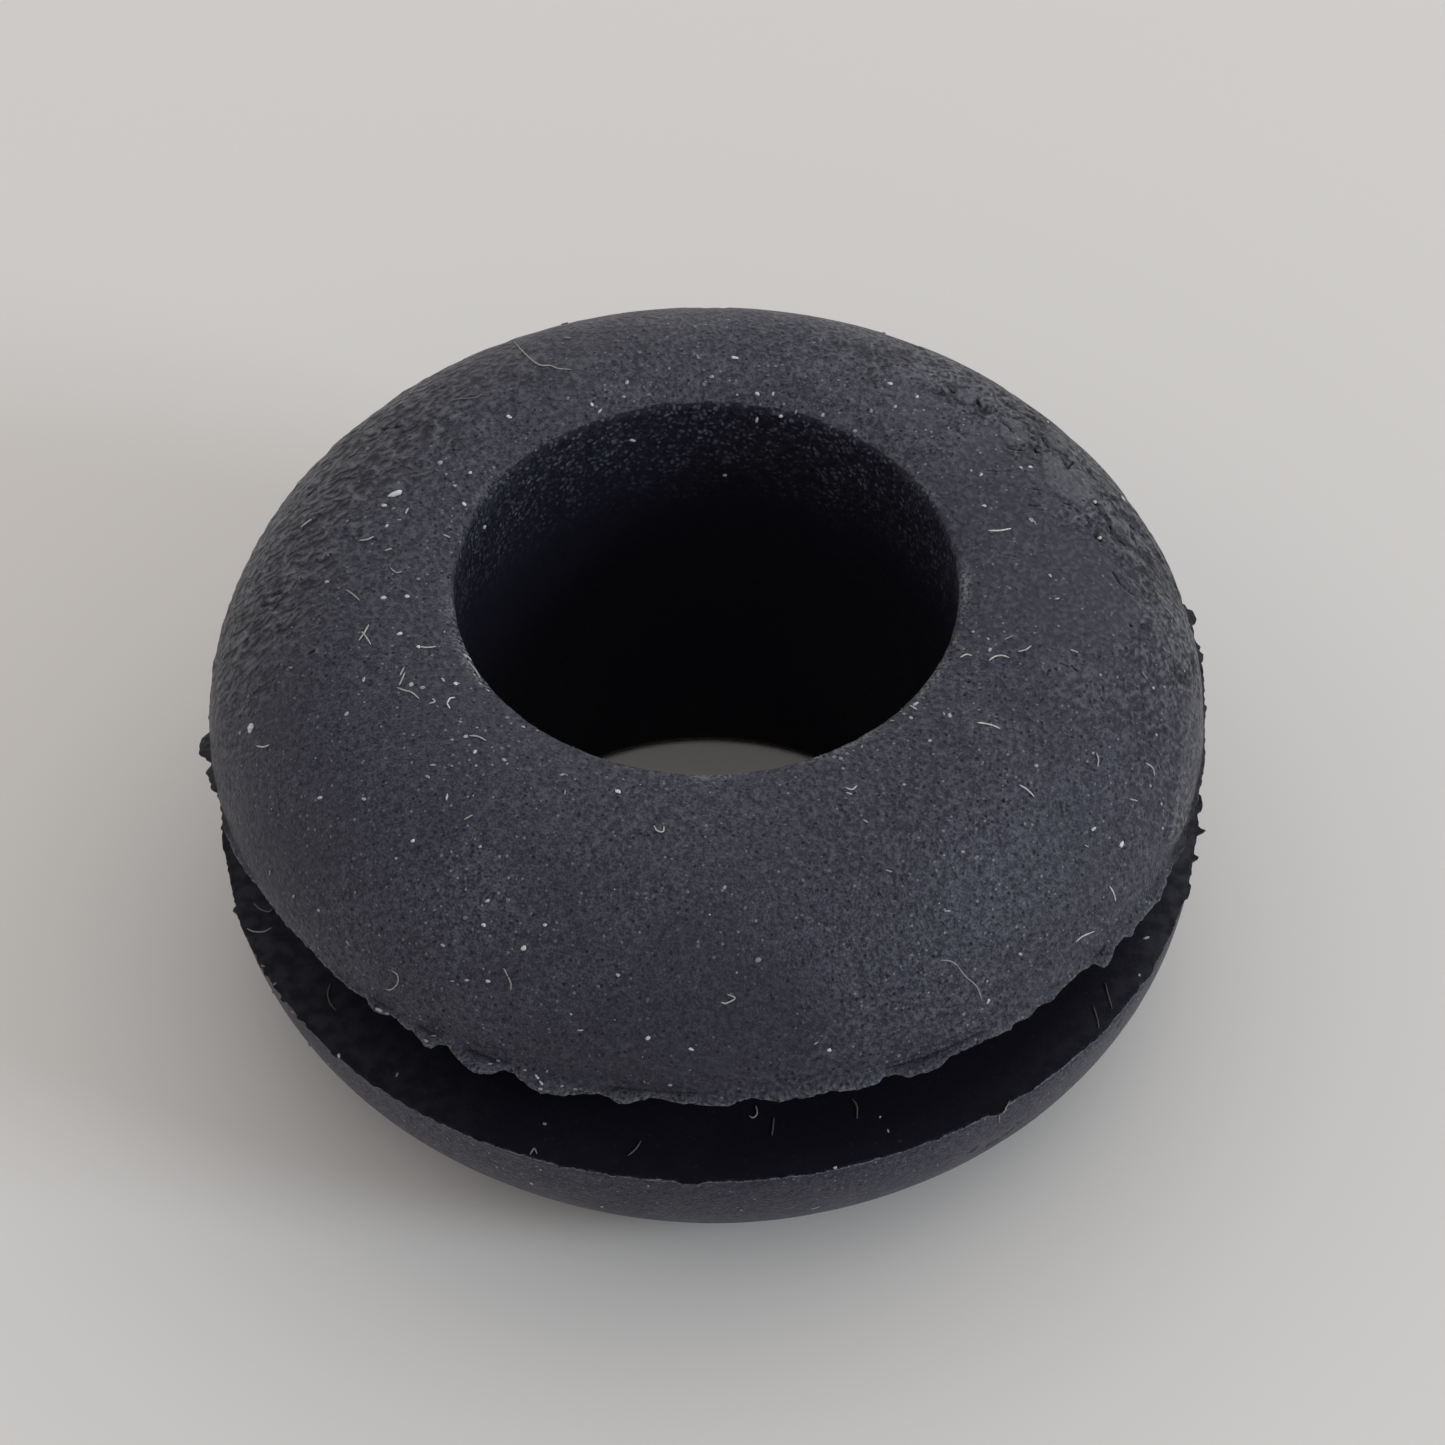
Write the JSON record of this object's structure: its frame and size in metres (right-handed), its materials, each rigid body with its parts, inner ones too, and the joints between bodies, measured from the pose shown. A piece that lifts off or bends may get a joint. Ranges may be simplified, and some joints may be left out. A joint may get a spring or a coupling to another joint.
{
  "type": "rubber grommet",
  "caption": "Moulded rubber ring with rounded flanges and a groove that lines a panel hole, so that a cable passes without chafing.",
  "frame": {"origin": "on the bore's axis, in the plane that the lower flange's crown rests on", "axes": "+Z along the bore's axis, from the lower flange to the upper; the ring is round about Z, apart from its torn flash"},
  "size_m": [0.0193, 0.0193, 0.0098],
  "materials": {
    "rubber": "matte black moulded rubber, with a fine grain and dust"
  },
  "bodies": {
    "root": {"grommet": "rubber"}
  },
  "joints": []
}
